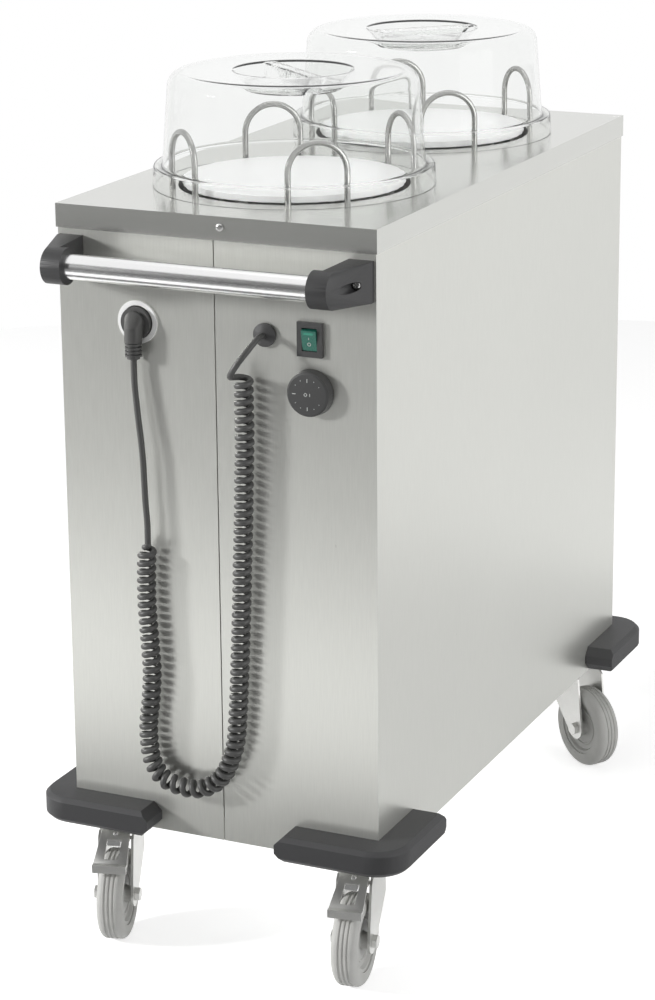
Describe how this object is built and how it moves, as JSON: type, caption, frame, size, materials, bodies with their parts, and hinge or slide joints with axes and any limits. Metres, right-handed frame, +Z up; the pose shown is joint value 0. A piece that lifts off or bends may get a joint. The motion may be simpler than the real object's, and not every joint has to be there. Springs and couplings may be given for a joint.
{
  "type": "plate warmer cabinet",
  "caption": "Mobile heated plate dispenser: a steel casing on swivel castors, sprung plate wells under clear lift-off domes, push handle and parked curly cord.",
  "frame": {"origin": "on the floor, at the middle of the footprint from the handle to the rear bumpers", "axes": "+Z up, +X right across the front, +Y from the handle to the back"},
  "size_m": [0.54, 1.063, 1.183],
  "materials": {
    "casing_steel": "brushed",
    "worktop_steel": "satin",
    "inner_steel": "satin",
    "polished_steel": "polished",
    "zinc": "satin",
    "bumper_rubber": "matt",
    "bracket_plastic": "matt",
    "black_plastic": "satin",
    "white_plastic": "gloss",
    "green_plastic": "gloss",
    "clear_plastic": "clear",
    "grey_tyre": "matt",
    "grey_hub": "matt",
    "heater_sheath": "dull",
    "copper": "satin",
    "cord_sheath": "satin"
  },
  "bodies": {
    "cabinet": {"left_casing": "casing_steel", "right_casing": "casing_steel", "worktop": "worktop_steel", "base_tray": "inner_steel", "front_well": "inner_steel", "rear_well": "inner_steel", "front_springs": "inner_steel", "rear_springs": "inner_steel", "bumper_screws": "inner_steel", "handle_tube": "polished_steel", "front_hoops": "polished_steel", "rear_hoops": "polished_steel", "case_screws": "polished_steel", "bumper_front_left": "bumper_rubber", "bumper_front_right": "bumper_rubber", "bumper_rear_left": "bumper_rubber", "bumper_rear_right": "bumper_rubber", "handle_bracket_left": "bracket_plastic", "handle_bracket_right": "bracket_plastic", "front_heater": "heater_sheath", "rear_heater": "heater_sheath", "parking_socket": "white_plastic", "switch_frame": "black_plastic", "cable_gland": "black_plastic", "thermostat_body": "black_plastic", "terminal_box": "black_plastic", "thermostat_sensor": "copper", "power_plug": "cord_sheath", "cord_lead": "cord_sheath", "cord_coil": "cord_sheath", "cord_tail": "cord_sheath", "inner_cable": "cord_sheath", "castor_plates": "zinc", "castor_bolts": "zinc"},
    "front_dome": {"front_dome": "clear_plastic"},
    "rear_dome": {"rear_dome": "clear_plastic"},
    "front_platform": {"front_disc": "white_plastic", "front_carriage": "inner_steel"},
    "rear_platform": {"rear_disc": "white_plastic", "rear_carriage": "inner_steel"},
    "knob": {"thermostat_knob": "black_plastic"},
    "rocker": {"switch_rocker": "green_plastic"},
    "castor_front_left": {"fork_front_left": "zinc", "axle_front_left": "zinc"},
    "rolling_front_left": {"wheel_front_left": "grey_hub", "tyre_front_left": "grey_tyre"},
    "brake_front_left": {"pedal_front_left": "zinc"},
    "castor_front_right": {"fork_front_right": "zinc", "axle_front_right": "zinc"},
    "rolling_front_right": {"wheel_front_right": "grey_hub", "tyre_front_right": "grey_tyre"},
    "brake_front_right": {"pedal_front_right": "zinc"},
    "castor_rear_left": {"fork_rear_left": "zinc", "axle_rear_left": "zinc"},
    "rolling_rear_left": {"wheel_rear_left": "grey_hub", "tyre_rear_left": "grey_tyre"},
    "castor_rear_right": {"fork_rear_right": "zinc", "axle_rear_right": "zinc"},
    "rolling_rear_right": {"wheel_rear_right": "grey_hub", "tyre_rear_right": "grey_tyre"}
  },
  "joints": [
    {"name": "front_dome_lift", "type": "slide", "parent": "cabinet", "child": "front_dome", "axis": [0, 0, 1], "range_m": [0, 0.3]},
    {"name": "front_platform_travel", "type": "slide", "parent": "cabinet", "child": "front_platform", "axis": [0, 0, 1], "range_m": [-0.54, 0], "stiffness_N_per_m": 650, "springref_m": 0.1, "deforming": ["front_springs"]},
    {"name": "rear_dome_lift", "type": "slide", "parent": "cabinet", "child": "rear_dome", "axis": [0, 0, 1], "range_m": [0, 0.3]},
    {"name": "rear_platform_travel", "type": "slide", "parent": "cabinet", "child": "rear_platform", "axis": [0, 0, 1], "range_m": [-0.54, 0], "stiffness_N_per_m": 650, "springref_m": 0.1, "deforming": ["rear_springs"]},
    {"name": "knob_turn", "type": "hinge", "parent": "cabinet", "child": "knob", "pos_m": [0.137, -0.4455, 0.813], "axis": [0, 1, 0], "range_deg": [0, 270]},
    {"name": "rocker_tilt", "type": "hinge", "parent": "cabinet", "child": "rocker", "pos_m": [0.136, -0.4385, 0.882], "axis": [-1, 0, 0], "range_deg": [0, 20]},
    {"name": "swivel_front_left", "type": "hinge", "parent": "cabinet", "child": "castor_front_left", "pos_m": [-0.182, -0.3945, 0.15], "axis": [0, 0, 1], "continuous": true},
    {"name": "roll_front_left", "type": "hinge", "parent": "castor_front_left", "child": "rolling_front_left", "pos_m": [-0.1729, -0.42622, 0.0625], "axis": [0.9613, 0.2756, 0], "continuous": true},
    {"name": "brake_front_left", "type": "hinge", "parent": "castor_front_left", "child": "brake_front_left", "pos_m": [-0.17483, -0.41949, 0.143], "axis": [0.9613, 0.2756, 0], "range_deg": [0, 6]},
    {"name": "swivel_front_right", "type": "hinge", "parent": "cabinet", "child": "castor_front_right", "pos_m": [0.182, -0.3945, 0.15], "axis": [0, 0, 1], "continuous": true},
    {"name": "roll_front_right", "type": "hinge", "parent": "castor_front_right", "child": "rolling_front_right", "pos_m": [0.18659, -0.42718, 0.0625], "axis": [0.9903, 0.1392, 0], "continuous": true},
    {"name": "brake_front_right", "type": "hinge", "parent": "castor_front_right", "child": "brake_front_right", "pos_m": [0.18562, -0.42025, 0.143], "axis": [0.9903, 0.1392, 0], "range_deg": [0, 6]},
    {"name": "swivel_rear_left", "type": "hinge", "parent": "cabinet", "child": "castor_rear_left", "pos_m": [-0.182, 0.4445, 0.15], "axis": [0, 0, 1], "continuous": true},
    {"name": "roll_rear_left", "type": "hinge", "parent": "castor_rear_left", "child": "rolling_rear_left", "pos_m": [-0.20093, 0.41747, 0.0625], "axis": [0.8192, -0.5736, 0], "continuous": true},
    {"name": "swivel_rear_right", "type": "hinge", "parent": "cabinet", "child": "castor_rear_right", "pos_m": [0.182, 0.4445, 0.15], "axis": [0, 0, 1], "continuous": true},
    {"name": "roll_rear_right", "type": "hinge", "parent": "castor_rear_right", "child": "rolling_rear_right", "pos_m": [0.20936, 0.42605, 0.0625], "axis": [0.5592, 0.829, 0], "continuous": true}
  ]
}
